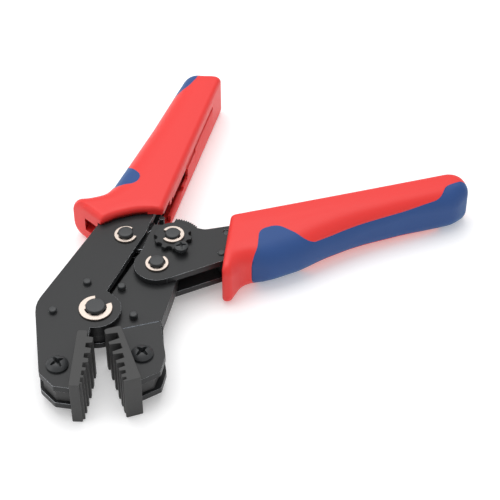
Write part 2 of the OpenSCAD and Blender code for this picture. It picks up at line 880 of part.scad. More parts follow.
// One plate of the toggle link, with an arm that carries the pawl
module toggle_link() {
    run = wheel_pivot - link_pivot;
    across = turn(unit(run), 90) * link_half_w;
    arm_run = pawl_pivot - link_pivot;
    arm_across = turn(unit(arm_run), 90) * arm_eye_r;
    difference() {
        union() {
            post(link_pivot, link_eye_r, link_in, link_out);
            post(wheel_pivot, link_eye_r, link_in, link_out);
            post(pawl_pivot, arm_eye_r, link_in, link_out);
            post(spring_low, hook_pin_r + 1.4, link_in, link_out);
            slab([
                link_pivot + across, link_pivot - across, wheel_pivot - across, wheel_pivot + across
            ], link_in, link_out);
            slab([
                link_pivot + arm_across, link_pivot - arm_across,
                pawl_pivot - arm_across, pawl_pivot + arm_across
            ], link_in, link_out);
        }
        post(link_pivot + eye_shift, small_pin_r + eye_slack, 0, tool_t);
        post(wheel_pivot, small_pin_r + running_fit, 0, tool_t);
        post(pawl_pivot, pawl_pin_r + seat_fit, 0, tool_t);
        post(spring_low, hook_pin_r + seat_fit, 0, tool_t);
    }
}

module toggle_link_front() {
    color(dark_steel) place() toggle_link();
}

module toggle_link_rear() {
    color(dark_steel) place() rear() toggle_link();
}

module link_spacer() {
    middle = (wheel_pivot + link_pivot) / 2;
    color(dark_steel) place() difference() {
        post(middle, link_half_w - 0.4, -link_in, link_in);
        post(wheel_pivot, small_pin_r + 1, -tool_t, tool_t);
        post(link_pivot + eye_shift, small_pin_r + eye_slack + 0.4, -tool_t, tool_t);
    }
}

module pawl_pin() {
    color(dark_steel) place()
        post(pawl_pivot, pawl_pin_r, -link_out, link_out);
}

module spring_hook_pin() {
    color(dark_steel) place()
        post(spring_low, hook_pin_r, -link_out, link_out);
}

// Pawl: a thin lever between the link plates, with a bar across both rows of teeth
module pawl() {
    tip = [pawl_tip.x, pawl_tip.y];
    run = tip - pawl_pivot;
    across = turn(unit(run), 90);
    color(dark_steel) place() difference() {
        union() {
            post(pawl_pivot, 2.5, -pawl_half, pawl_top);
            slab([
                pawl_pivot + across * 2, pawl_pivot - across * 1.6, tip - across * 0.7, tip + across * 0.9
            ], -pawl_half, pawl_top);
            post(tip, pawl_bar_d / 2, -plate_out + fit, plate_out - fit);
        }
        post(pawl_pivot, pawl_pin_r + running_fit, -tool_t, tool_t);
    }
}

// Leg spring round the pawl pin
module pawl_spring() {
    wire = 0.6;
    coil_r = 2.3;
    color(spring_steel) place()
        translate([pawl_pivot.x, pawl_pivot.y, pawl_top + layer_gap]) difference() {
            cylinder(r = coil_r, h = wire);
            translate([0, 0, -past]) cylinder(r = coil_r - wire, h = wire + 2 * past);
        }
}

frame_plate_front();
frame_plate_rear();
frame_spacer();
tang_spacer();
frame_rivets();
main_pivot_pin();
main_pivot_clip();
link_pin();
link_pin_clip();
die_fixed();
die_screw_fixed();
spring_post();
return_spring();
fixed_grip();
fixed_grip_inlay();
jaw_plate_front();
jaw_plate_rear();
jaw_rivets();
die_moving();
die_screw_moving();
handle_plate_front();
handle_plate_rear();
handle_spacer();
handle_rivets();
handle_pin();
adjusting_pin();
handle_clips();
adjusting_wheel();
wheel_lock_screw();
moving_grip();
moving_grip_inlay();
toggle_link_front();
toggle_link_rear();
link_spacer();
pawl_pin();
spring_hook_pin();
pawl();
pawl_spring();
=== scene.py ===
"""Ratchet crimping pliers: the finished pieces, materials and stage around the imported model."""

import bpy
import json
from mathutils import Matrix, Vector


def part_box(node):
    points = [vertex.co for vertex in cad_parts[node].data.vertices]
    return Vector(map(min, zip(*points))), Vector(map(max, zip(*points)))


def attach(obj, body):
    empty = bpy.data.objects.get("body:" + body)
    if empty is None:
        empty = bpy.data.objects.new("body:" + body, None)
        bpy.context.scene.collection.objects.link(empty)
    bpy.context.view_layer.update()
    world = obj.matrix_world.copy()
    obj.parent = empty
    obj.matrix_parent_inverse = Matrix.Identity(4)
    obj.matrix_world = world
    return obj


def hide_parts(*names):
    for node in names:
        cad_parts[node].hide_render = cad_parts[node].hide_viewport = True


bl_info = {
    "name": "Ratchet Crimping Pliers",
    "version": (1, 0, 0),
    "blender": (4, 5, 0),
    "location": "View3D > Sidebar > Crimping Pliers",
    "description": "Builds the steel, grips, springs and dies of a ratchet crimping tool",
    "category": "Object",
}

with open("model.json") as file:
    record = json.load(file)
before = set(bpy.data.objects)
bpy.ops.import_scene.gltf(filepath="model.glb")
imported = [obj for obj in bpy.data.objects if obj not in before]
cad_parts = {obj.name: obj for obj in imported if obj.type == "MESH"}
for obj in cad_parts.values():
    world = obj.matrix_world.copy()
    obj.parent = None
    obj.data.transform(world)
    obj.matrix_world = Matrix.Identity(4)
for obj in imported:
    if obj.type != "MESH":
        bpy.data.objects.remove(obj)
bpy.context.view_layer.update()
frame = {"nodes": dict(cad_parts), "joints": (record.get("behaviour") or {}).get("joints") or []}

import json
import math

import bmesh
import bpy
from mathutils import Matrix, Vector

MM = 0.001
# The main pivot: all plan sizes below are measured from it
MAIN = next(Vector(joint["pos_m"]) for joint in frame["joints"] if joint["name"] == "jaw_swing")
# How far apart points may lie and still be merged, and a small break of a pin's edges
MERGE = 0.002 * MM
PIN_EDGE = 0.1 * MM


# ---------------------------------------------------------------- settings


class CrimperSteelSettings(bpy.types.PropertyGroup):
    """Sizes and colours of the steel pieces."""

    plate_edge: bpy.props.FloatProperty(
        name="Plate edge", description="Width of the broken edge round each plate",
        default=0.00022, subtype="DISTANCE", unit="LENGTH",
    )
    die_edge: bpy.props.FloatProperty(
        name="Die edge", description="Width of the broken edge on the dies",
        default=0.00014, subtype="DISTANCE", unit="LENGTH",
    )
    pin_steps: bpy.props.IntProperty(
        name="Pin steps", description="Number of sides of a turned piece", default=64, min=24,
    )
    oxide: bpy.props.FloatVectorProperty(
        name="Black oxide", description="Colour of the blackened steel",
        default=(0.0145, 0.0152, 0.0162), subtype="COLOR",
    )
    phosphate: bpy.props.FloatVectorProperty(
        name="Phosphate", description="Colour of the dies' grey coating",
        default=(0.036, 0.036, 0.036), subtype="COLOR",
    )
    nickel: bpy.props.FloatVectorProperty(
        name="Nickel", description="Colour of the bright retaining clips",
        default=(0.5, 0.43, 0.38), subtype="COLOR",
    )


class CrimperGripSettings(bpy.types.PropertyGroup):
    """Sizes and colours of the two grips."""

    red: bpy.props.FloatVectorProperty(
        name="Shell colour", description="Colour of the moulded grip shells",
        default=(0.75, 0.03, 0.026), subtype="COLOR",
    )
    blue: bpy.props.FloatVectorProperty(
        name="Inlay colour", description="Colour of the soft palm inlays",
        default=(0.019, 0.066, 0.225), subtype="COLOR",
    )
    half: bpy.props.FloatProperty(
        name="Half thickness", description="Half of the grips' thickness at the crown",
        default=0.0095, subtype="DISTANCE", unit="LENGTH",
    )
    crown: bpy.props.FloatProperty(
        name="Crown", description="Rise of the grips' faces from edge to middle",
        default=0.0004, subtype="DISTANCE", unit="LENGTH",
    )
    seam: bpy.props.FloatProperty(
        name="Seam", description="Width of the broken edges along the seam round each inlay",
        default=0.00025, subtype="DISTANCE", unit="LENGTH",
    )


class CrimperStageSettings(bpy.types.PropertyGroup):
    """Light and camera of the stage."""

    lens: bpy.props.FloatProperty(
        name="Focal length", description="Focal length on a 36 mm wide frame, in millimetres",
        default=119.95,
    )
    distance: bpy.props.FloatProperty(
        name="Camera distance", description="Distance from the camera to the point it looks at",
        default=0.631, subtype="DISTANCE", unit="LENGTH",
    )
    elevation: bpy.props.FloatProperty(
        name="Camera elevation", description="Height of the camera above the horizon",
        default=math.radians(44), subtype="ANGLE", unit="ROTATION",
    )
    softbox: bpy.props.FloatProperty(
        name="Softbox power", description="Power of the light over the tool, in watts",
        default=4.6,
    )
    fill: bpy.props.FloatProperty(
        name="Fill light", description="Strength of the even white light from all round",
        default=0.7,
    )


def settings(name):
    """One of the scene's groups of settings."""
    return getattr(bpy.context.scene, name)


# ---------------------------------------------------------------- modelling helpers


def deselect():
    """Leaves edit mode with nothing selected."""
    if bpy.context.mode != "OBJECT":
        bpy.ops.object.mode_set(mode="OBJECT")
    bpy.ops.object.select_all(action="DESELECT")


def activate(piece):
    """Makes a piece the only one selected, and the active one."""
    deselect()
    piece.select_set(True)
    bpy.context.view_layer.objects.active = piece


def edit(piece):
    """Opens a piece in edit mode with all its points selected."""
    activate(piece)
    bpy.ops.object.mode_set(mode="EDIT")
    bpy.ops.mesh.select_mode(type="VERT")
    bpy.ops.mesh.select_all(action="SELECT")


def settle(piece, angle=35):
    """Closes doubles, turns faces outwards and smooths all but the sharp edges."""
    edit(piece)
    bpy.ops.mesh.remove_doubles(threshold=MERGE)
    bpy.ops.mesh.normals_make_consistent(inside=False)
    activate(piece)
    bpy.ops.object.transform_apply(location=True, rotation=True, scale=True)
    bpy.ops.object.shade_smooth_by_angle(angle=math.radians(angle))
    weighted = piece.modifiers.new("Weighted normals", "WEIGHTED_NORMAL")
    weighted.keep_sharp = True
    weighted.weight = 70
    apply_modifiers(piece)
    deselect()


def copy_of(node, name):
    """A copy of a CAD node's mesh with its triangles merged into whole faces."""
    piece = frame["nodes"][node].copy()
    piece.data = frame["nodes"][node].data.copy()
    piece.parent = None
    for key in list(piece.keys()):
        del piece[key]
    piece.name = piece.data.name = name
    piece.data.materials.clear()
    bpy.context.scene.collection.objects.link(piece)
    piece.hide_viewport = piece.hide_render = False
    piece.hide_set(False)
    edit(piece)
    bpy.ops.mesh.remove_doubles(threshold=0.003 * MM)
    bpy.ops.mesh.dissolve_limited(angle_limit=math.radians(1))
    deselect()
    return piece


def apply_modifiers(piece):
    """Applies all the modifiers of a piece, in order."""
    activate(piece)
    for modifier in list(piece.modifiers):
        bpy.ops.object.modifier_apply(modifier=modifier.name)


def break_edges(piece, width, segments=2, angle=32, edge_slot=-1):
    """Rounds the sharp edges; edge_slot is the material slot of the rounded strips."""
    while len(piece.data.materials) <= edge_slot:
        piece.data.materials.append(None)
    bevel = piece.modifiers.new("Broken edges", "BEVEL")
    bevel.width = width
    bevel.segments = segments
    bevel.limit_method = "ANGLE"
    bevel.angle_limit = math.radians(angle)
    bevel.use_clamp_overlap = True
    bevel.material = edge_slot
    apply_modifiers(piece)


def stack_rings(name, rings):
    """A closed skin through rings of points, each ring extruded from the one before."""
    deselect()
    bpy.ops.mesh.primitive_circle_add(vertices=len(rings[0]), radius=1, fill_type="NOTHING")
    piece = bpy.context.object
    piece.name = piece.data.name = name
    edit(piece)
    mesh = bmesh.from_edit_mesh(piece.data)
    spot = mesh.verts.layers.int.new("spot")
    for index, vert in enumerate(mesh.verts):
        vert[spot] = index
        vert.co = rings[0][index]
    bmesh.update_edit_mesh(piece.data)
    bpy.ops.mesh.edge_face_add()
    bpy.ops.mesh.select_all(action="DESELECT")
    mesh = bmesh.from_edit_mesh(piece.data)
    for edge in mesh.edges:
        edge.select_set(True)
    for ring in rings[1:]:
        bpy.ops.mesh.extrude_edges_move()
        mesh = bmesh.from_edit_mesh(piece.data)
        spot = mesh.verts.layers.int["spot"]
        for vert in mesh.verts:
            if vert.select:
                vert.co = ring[vert[spot]]
        bmesh.update_edit_mesh(piece.data)
    bpy.ops.mesh.edge_face_add()
    deselect()
    return piece


def turned(name, at, profile, steps=None):
    """A piece turned on a lathe: profile is (radius, height) pairs, in millimetres."""
    steps = steps or settings("crimper_steel").pin_steps
    rings = []
    for radius, height in profile:
        rings.append([
            Vector((
                at.x + radius * MM * math.cos(2 * math.pi * k / steps),
                at.y + radius * MM * math.sin(2 * math.pi * k / steps),
                at.z + height * MM,
            ))
            for k in range(steps)
        ])
    return stack_rings(name, rings)


def rounded_rim(radius, top, edge, steps=4):
    """Profile points of a rim rounded by edge, up to height top."""
    return [
        (radius - edge + edge * math.cos(a), top - edge + edge * math.sin(a))
        for a in (math.pi / 2 * k / steps for k in range(steps + 1))
    ]


def block(name, centre, size, turn=0.0):
    """A box cutter in millimetres, turned about Z."""
    deselect()
    bpy.ops.mesh.primitive_cube_add(size=1, location=centre, rotation=(0, 0, turn))
    piece = bpy.context.object
    piece.name = name
    piece.scale = [s * MM for s in size]
    activate(piece)
    bpy.ops.object.transform_apply(location=True, rotation=True, scale=True)
    return piece


def combine(piece, other, operation, keep=False):
    """Boolean of two pieces; the second is removed unless it is kept."""
    boolean = piece.modifiers.new("Boolean", "BOOLEAN")
    boolean.operation = operation
    boolean.solver = "EXACT"
    boolean.object = other
    apply_modifiers(piece)
    if not keep:
        bpy.data.objects.remove(other)
    return piece


def hand_over(piece, body, nodes, materials, angle=35):
    """Gives a piece its finish, its body and the CAD nodes it stands for."""
    while len(piece.data.materials) < len(materials):
        piece.data.materials.append(None)
    for index, material in enumerate(materials):
        piece.data.materials[index] = material
    settle(piece, angle)
    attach(piece, body)
    if nodes:
        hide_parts(*nodes)


# ---------------------------------------------------------------- plan outlines of the grips


def unit(vector):
    """A vector made one long."""
    return vector / vector.length


def rounded_corner(before, here, after, radius, step):
    """Points of an arc of the given radius that rounds the corner at here."""
    to_before, to_after = unit(before - here), unit(after - here)
    half = to_before.angle(to_after) / 2
    side = min((before - here).length, (after - here).length)
    reach = min(radius / math.tan(half), 0.66 * side)
    radius = reach * math.tan(half)
    centre = here + unit(to_before + to_after) * radius / math.sin(half)
    first, last = here + to_before * reach - centre, here + to_after * reach - centre
    sweep = first.angle_signed(last)
    steps = 2 * max(2, math.ceil(abs(sweep) * radius / step / 2))
    return [centre + Matrix.Rotation(-sweep * k / steps, 2) @ first for k in range(steps + 1)]


def round_outline(corners, step=1.0):
    """Points along an outline of corners (u, v, corner radius, values that vary smoothly)."""
    count = len(corners)
    arcs = []
    for i in range(count):
        before, here, after = (Vector(corners[(i + k) % count][:2]) for k in (-1, 0, 1))
        arcs.append(rounded_corner(before, here, after, corners[i][2], step))
    points = []
    for i, arc in enumerate(arcs):
        rest = corners[i][3:]
        next_arc, next_rest = arcs[(i + 1) % count], corners[(i + 1) % count][3:]
        start, end = arc[-1], next_arc[0]
        gaps = max(1, math.ceil((end - start).length / (1.6 * step)))
        middle = len(arc) // 2
        path = arc[middle:] + [start.lerp(end, k / gaps) for k in range(1, gaps)]
        path += next_arc[:len(next_arc) // 2 + 1]
        run = [0]
        for one, two in zip(path, path[1:]):
            run.append(run[-1] + (two - one).length)
        points += [
            (*spot, *(x + (y - x) * part / run[-1] for x, y in zip(rest, next_rest)))
            for spot, part in zip(path[:-1], run)
        ]
    for _ in range(5):
        points = [
            (*here[:2], *((x + 2 * y + z) / 4 for x, y, z in zip(last[2:], here[2:], after[2:])))
            for last, here, after in zip(points[-1:] + points[:-1], points, points[1:] + points[:1])
        ]
    return points


# Steps round a grip's rolled edge, the levels of its crown after that, how much of the way
# to the middle the edge may take, and how far in from it the crown reaches its full rise
ROLL_STEPS = 9
CROWN_LEVELS = [1.35, 1.7, 1.92]
ROLL_SHARE = 0.92
CROWN_REACH = 8


def moulded(name, place, corners):
    """A grip's solid: an outline whose edges roll over towards the grip's middle."""
    grips = settings("crimper_grips")
    half = grips.half / MM
    levels = [k / ROLL_STEPS for k in range(ROLL_STEPS + 1)] + CROWN_LEVELS
    points = round_outline(corners)
    upper = []
    for level in levels:
        ring = []
        for u, v, edge, mate_u, mate_v in points:
            here, mate = Vector((u, v)), Vector((mate_u, mate_v))
            room = (mate - here).length
            radius = min(edge, ROLL_SHARE * room)
            crown = grips.crown / MM * min(1, (room - radius) / CROWN_REACH)
            if level <= 1:
                inset = radius * (1 - math.cos(level * math.pi / 2))
                height = half - crown - radius + radius * math.sin(level * math.pi / 2)
            else:
                inset = radius + (room - radius) * (level - 1)
                height = half - crown * (2 - level) ** 2
            ring.append((here.lerp(mate, inset / room), height))
        upper.append(ring)
    rings = []
    for sign, stack in ((-1, reversed(upper)), (1, upper)):
        for ring in stack:
            rings.append([
                (*place(*spot), MAIN.z + sign * height * MM) for spot, height in ring
            ])
    return stack_rings(name, rings)


def prism(name, place, corners, low, high):
    """An upright slab with a plan outline, used to cut the grips."""
    points = round_outline([(*c[:2], c[2] if len(c) > 2 else 0.01) for c in corners], 0.7)
    rings = [
        [(*place(u, v), MAIN.z + height * MM) for u, v in points] for height in (low, high)
    ]
    piece = stack_rings(name, rings)
    settle(piece)
    return piece


# ---------------------------------------------------------------- shared shader groups


def new_group(name, inputs, outputs):
    """An empty shader node group with its sockets, its input node and its output node."""
    group = bpy.data.node_groups.new(name, "ShaderNodeTree")
    for label, kind, value in inputs:
        socket = group.interface.new_socket(name=label, in_out="INPUT", socket_type=kind)
        socket.default_value = value
    for label, kind in outputs:
        group.interface.new_socket(name=label, in_out="OUTPUT", socket_type=kind)
    return group, group.nodes.new("NodeGroupInput"), group.nodes.new("NodeGroupOutput")


def node(tree, kind, **values):
    """Adds a node with the given properties."""
    made = tree.nodes.new(kind)
    for key, value in values.items():
        setattr(made, key, value)
    return made


def grain_group():
    """Fine surface grain: a bump height and a slow variation for colour and gloss."""
    if "Surface Grain" in bpy.data.node_groups:
        return bpy.data.node_groups["Surface Grain"]
    group, entry, out = new_group(
        "Surface Grain",
        [("Fine Scale", "NodeSocketFloat", 2500.0), ("Broad Scale", "NodeSocketFloat", 60.0)],
        [("Height", "NodeSocketFloat"), ("Mottle", "NodeSocketFloat")],
    )
    links = group.links
    coords = group.nodes.new("ShaderNodeTexCoord")
    fine = node(group, "ShaderNodeTexNoise")
    fine.inputs["Detail"].default_value = 3
    broad = node(group, "ShaderNodeTexNoise")
    broad.inputs["Detail"].default_value = 5
    broad.inputs["Roughness"].default_value = 0.6
    for noise, label in ((fine, "Fine Scale"), (broad, "Broad Scale")):
        links.new(coords.outputs["Object"], noise.inputs["Vector"])
        links.new(entry.outputs[label], noise.inputs["Scale"])
    links.new(fine.outputs["Fac"], out.inputs["Height"])
    links.new(broad.outputs["Fac"], out.inputs["Mottle"])
    return group


# ---------------------------------------------------------------- materials


def ranged(tree, source, low, high):
    """Maps a 0 to 1 value onto low to high."""
    ramp = node(tree, "ShaderNodeMapRange")
    ramp.inputs["To Min"].default_value = low
    ramp.inputs["To Max"].default_value = high
    tree.links.new(source, ramp.inputs["Value"])
    return ramp.outputs["Result"]


def tinted(tree, factor, dark, light):
    """Mixes two colours by a 0 to 1 value."""
    mix = node(tree, "ShaderNodeMix", data_type="RGBA")
    mix.inputs["A"].default_value = (*dark, 1)
    mix.inputs["B"].default_value = (*light, 1)
    tree.links.new(factor, mix.inputs["Factor"])
    return mix.outputs["Result"]


def surface(name, colour, rough, spread, scales, bump, contrast=0.25, metallic=0.0,
            **sockets):
    """A material whose colour, gloss and relief vary over the surface at the given scales."""
    if name in bpy.data.materials:
        return bpy.data.materials[name]
    material = bpy.data.materials.new(name)
    material.use_nodes = True
    tree = material.node_tree
    shader = tree.nodes["Principled BSDF"]
    shader.inputs["Metallic"].default_value = metallic
    for label, value in sockets.items():
        shader.inputs[label.replace("_", " ")].default_value = value
    grain = node(tree, "ShaderNodeGroup", node_tree=grain_group())
    grain.inputs["Fine Scale"].default_value = scales[0]
    grain.inputs["Broad Scale"].default_value = scales[1]
    dark = [c * (1 - contrast) for c in colour]
    light = [min(1, c * (1 + contrast)) for c in colour]
    tint = tinted(tree, grain.outputs["Mottle"], dark, light)
    tree.links.new(tint, shader.inputs["Base Color"])
    tree.links.new(ranged(tree, grain.outputs["Mottle"], rough - spread, rough + spread),
                   shader.inputs["Roughness"])
    relief = node(tree, "ShaderNodeBump")
    relief.inputs["Strength"].default_value = bump[0]
    relief.inputs["Distance"].default_value = bump[1] * MM
    tree.links.new(grain.outputs["Height"], relief.inputs["Height"])
    tree.links.new(relief.outputs["Normal"], shader.inputs["Normal"])
    return material


def black_oxide():
    """Satin black of the plates."""
    return surface("Black oxide steel", settings("crimper_steel").oxide, 0.42, 0.07,
                   (3200, 45), (0.25, 0.02), Specular_IOR_Level=0.32)


def painted_edge_highlight():
    """Light, glossy steel on the broken plate edges: a painted highlight that draws bright lines
    along the rims.
    """
    return surface("Rubbed plate edge", (0.5, 0.52, 0.55), 0.28, 0.06,
                   (2600, 300), (0.15, 0.01), contrast=0.35, metallic=0.95)


def dark_fastener():
    """Pins, rivets and screws."""
    return surface("Dark fastener steel", (0.024, 0.026, 0.028), 0.4, 0.05,
                   (2800, 120), (0.2, 0.015), Specular_IOR_Level=0.45)


def die_phosphate():
    """Matt grey coating of the dies."""
    return surface("Phosphated die steel", settings("crimper_steel").phosphate, 0.56, 0.06,
                   (2200, 160), (0.45, 0.03), Specular_IOR_Level=0.45)


def clip_nickel():
    """Bright plating of the retaining clips."""
    return surface("Bright nickel", settings("crimper_steel").nickel, 0.34, 0.07,
                   (2400, 300), (0.1, 0.01), contrast=0.06, metallic=1.0)


def spring_wire():
    """Drawn wire of the springs."""
    return surface("Drawn spring wire", (0.32, 0.33, 0.35), 0.32, 0.05,
                   (3000, 400), (0.15, 0.01), metallic=1.0)


def red_shell():
    """Moulded shell of the grips."""
    return surface("Red moulded shell", settings("crimper_grips").red, 0.43, 0.035,
                   (2300, 35), (0.28, 0.03), contrast=0.03, Specular_IOR_Level=0.4,
                   Subsurface_Weight=0.06, Subsurface_Scale=0.002)


def blue_inlay():
    """Soft inlay of the grips; its teal sheen tint is a painted cyan reflection at grazing angles.
    """
    # The sheen lobe answers the lamps, but its teal tint stands in for a cyan reflection: painted
    # reflection.
    return surface("Blue soft inlay", settings("crimper_grips").blue, 0.58, 0.05,
                   (1900, 60), (0.4, 0.04), contrast=0.1, Specular_IOR_Level=0.35,
                   Sheen_Weight=0.25, Sheen_Roughness=0.35, Sheen_Tint=(0.3, 0.75, 0.85, 1))


def seam_shade():
    """Shade in the seam round an inlay."""
    return surface("Shaded seam", (0.03, 0.018, 0.04), 0.7, 0.05,
                   (1900, 60), (0.2, 0.02), contrast=0.1, Specular_IOR_Level=0.1)


# ---------------------------------------------------------------- steel pieces


def plate_piece(node_name, body, width=None, materials=None, angle=32):
    """A CAD plate with broken edges; by default their strips get the painted edge highlight."""
    piece = copy_of(node_name, node_name + "_finished")
    # The broken edge strips take slot 1: the painted edge highlight, unless other materials are
    # given.
    break_edges(piece, width or settings("crimper_steel").plate_edge, edge_slot=1, angle=angle)
    hand_over(piece, body, [node_name], materials or [black_oxide(), painted_edge_highlight()])
    return piece


class CrimperFramePlates(bpy.types.Operator):
    """Frame plates, their spacers and the fixed grip's tang spacer"""

    bl_idname = "crimper.frame_plates"
    bl_label = "Frame plates"

    def execute(self, context):
        for name in ("frame_plate_front", "frame_plate_rear", "frame_spacer", "tang_spacer"):
            plate_piece(name, "frame")
        return {"FINISHED"}


# A thin groove cut along the joggle of the jaw plates, with the painted edge highlight on its faces
# to draw the joggle's bright edge line:
# the place of its middle, its lean in degrees, and the length, width and height of its cutter
JOGGLE_MIDDLE = Vector((16.82, -7.93, 0))
JOGGLE_LEAN = 15.6
JOGGLE_CUTTER = (13, 0.35, 0.5)


class CrimperJawPlates(bpy.types.Operator):
    """Joggled plates of the moving jaw"""

    bl_idname = "crimper.jaw_plates"
    bl_label = "Jaw plates"

    def execute(self, context):
        for name, side in (("jaw_plate_front", 1), ("jaw_plate_rear", 0)):
            piece = copy_of(name, name + "_finished")
            break_edges(piece, settings("crimper_steel").plate_edge, edge_slot=1)
            centre = MAIN + JOGGLE_MIDDLE * MM
            centre.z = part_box(name)[side].z
            line = block("joggle line", centre, JOGGLE_CUTTER, math.radians(JOGGLE_LEAN))
            # The groove's faces take slot 1, the painted edge highlight that draws the joggle's
            # bright line.
            while len(line.data.materials) < 2:
                line.data.materials.append(None)
            for part in line.data.polygons:
                part.material_index = 1
            combine(piece, line, "DIFFERENCE")
            hand_over(piece, "moving_jaw", [name], [black_oxide(), painted_edge_highlight()])
        return {"FINISHED"}


class CrimperHandlePlates(bpy.types.Operator):
    """Handle plates with their ratchet teeth, and the spacer between them"""

    bl_idname = "crimper.handle_plates"
    bl_label = "Handle plates"

    def execute(self, context):
        for name in ("handle_plate_front", "handle_plate_rear", "handle_spacer"):
            plate_piece(name, "moving_handle", 0.16 * MM if "plate" in name else None)
        return {"FINISHED"}


class CrimperToggleLink(bpy.types.Operator):
    """Toggle link plates and spacer, and the ratchet pawl"""

    bl_idname = "crimper.toggle_link"
    bl_label = "Toggle link and pawl"

    def execute(self, context):
        for name in ("toggle_link_front", "toggle_link_rear", "link_spacer"):
            plate_piece(name, "toggle_link", 0.14 * MM)
        plate_piece("pawl", "pawl", PIN_EDGE)
        return {"FINISHED"}


# Radius of each pin, then the overhang and thickness of its rear head, the thickness of a
# clip, and the depth of its groove, in millimetres
PIN_RADIUS = {"main_pivot_pin": 3.6, "link_pin": 2.8, "handle_pin": 2.8, "adjusting_pin": 2.8}
HEAD_OVER = 1.4
HEAD_T = 1.6
CLIP_T = 0.8
GROOVE = 0.9


def pin_head(low, radius):
    """Profile of a pin's rear head with rounded edges, from its lowest point up."""
    rim = radius + HEAD_OVER
    return [
        (rim - 0.4, low), (rim - 0.1, low + 0.15), (rim, low + 0.4),
        (rim, low + HEAD_T), (radius, low + HEAD_T),
    ]


class CrimperPins(bpy.types.Operator):
    """The four headed pins, and the small pins and posts inside"""

    bl_idname = "crimper.pins"
    bl_label = "Pins"

    def execute(self, context):
        clip_low = {
            "main_pivot_pin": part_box("main_pivot_clip")[0].z,
            "link_pin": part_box("link_pin_clip")[0].z,
            "handle_pin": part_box("handle_clips")[0].z,
            "adjusting_pin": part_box("handle_clips")[1].z - CLIP_T * MM,
        }
        for name, radius in PIN_RADIUS.items():
            low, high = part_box(name)
            centre = (low + high) / 2
            centre.z = MAIN.z
            groove = (clip_low[name] - MAIN.z) / MM
            bottom, top = ((point.z - MAIN.z) / MM for point in (low, high))
            profile = pin_head(bottom, radius) + [
                (radius, groove),
                (radius - GROOVE, groove),
                (radius - GROOVE, groove + CLIP_T),
                (radius, groove + CLIP_T),
            ]
            profile += rounded_rim(radius, top, 0.45)
            profile.append((0.8, top))
            piece = turned(name + "_finished", centre, profile)
            body = "moving_handle" if name in ("handle_pin", "adjusting_pin") else "frame"
            hand_over(piece, body, [name], [dark_fastener()])
        for name, body in (("spring_post", "frame"), ("pawl_pin", "toggle_link"),
                           ("spring_hook_pin", "toggle_link")):
            plate_piece(name, body, PIN_EDGE, [dark_fastener()] * 2)
        return {"FINISHED"}


class CrimperClips(bpy.types.Operator):
    """The bright retaining clips of the four pins"""

    bl_idname = "crimper.clips"
    bl_label = "Retaining clips"

    def execute(self, context):
        for name, body in (("main_pivot_clip", "frame"), ("link_pin_clip", "frame"),
                           ("handle_clips", "moving_handle")):
            plate_piece(name, body, 0.25 * MM, [clip_nickel()] * 2)
        return {"FINISHED"}


def solids_of(node_name):
    """Lowest and highest corner of each separate solid in a CAD node."""
    piece = copy_of(node_name, "parts")
    mesh = bmesh.new()
    mesh.from_mesh(piece.data)
    left = set(mesh.verts)
    boxes = []
    while left:
        todo, found = [left.pop()], []
        while todo:
            vert = todo.pop()
            found.append(vert.co.copy())
            for edge in vert.link_edges:
                other = edge.other_vert(vert)
                if other in left:
                    left.remove(other)
                    todo.append(other)
        boxes.append(tuple(
            Vector([pick(co[axis] for co in found) for axis in range(3)]) for pick in (min, max)
        ))
    mesh.free()
    bpy.data.objects.remove(piece)
    return sorted(boxes, key=lambda pair: tuple(pair[0]))


class CrimperRivets(bpy.types.Operator):
    """Rivets of the frame, the jaw and the handle, with rounded heads"""

    bl_idname = "crimper.rivets"
    bl_label = "Rivets"

    def execute(self, context):
        for name, body in (("frame_rivets", "frame"), ("jaw_rivets", "moving_jaw"),
                           ("handle_rivets", "moving_handle")):
            pieces = []
            for index, (low, high) in enumerate(solids_of(name)):
                radius = (high.x - low.x) / 2 / MM
                centre = (low + high) / 2
                bottom, top = (low.z - centre.z) / MM, (high.z - centre.z) / MM
                profile = [(radius - 0.35, bottom), (radius, bottom + 0.3)]
                profile += rounded_rim(radius, top, 0.5) + [(0.5, top)]
                pieces.append(turned(f"{name}_{index}", centre, profile, 40))
            activate(pieces[0])
            for other in pieces[1:]:
                other.select_set(True)
            bpy.ops.object.join()
            pieces[0].name = name + "_finished"
            hand_over(pieces[0], body, [name], [dark_fastener()])
        return {"FINISHED"}


def cross_recess(name, centre, width, depth, spin):
    """Cutter for a cross recess: two crossed blades that narrow downwards and outwards."""
    sections = ((0.45, -depth), (0.92, -0.4), (1.15, 0.6))
    tip_share = 0.42
    blades = []
    for quarter in (0, 1):
        turn = Matrix.Rotation(spin + quarter * math.pi / 2, 3, "Z")
        rings = []
        for part, height in sections:
            half, thick = width / 2 * part, width * (0.07 + 0.07 * part)
            tip = thick * tip_share
            rings.append([
                centre + turn @ Vector((x * MM, y * MM, height * MM))
                for x, y in ((-half, -tip), (0, -thick), (half, -tip),
                             (half, tip), (0, thick), (-half, tip))
            ])
        blade = stack_rings(name, rings)
        settle(blade)
        blades.append(blade)
    return combine(blades[0], blades[1], "UNION")


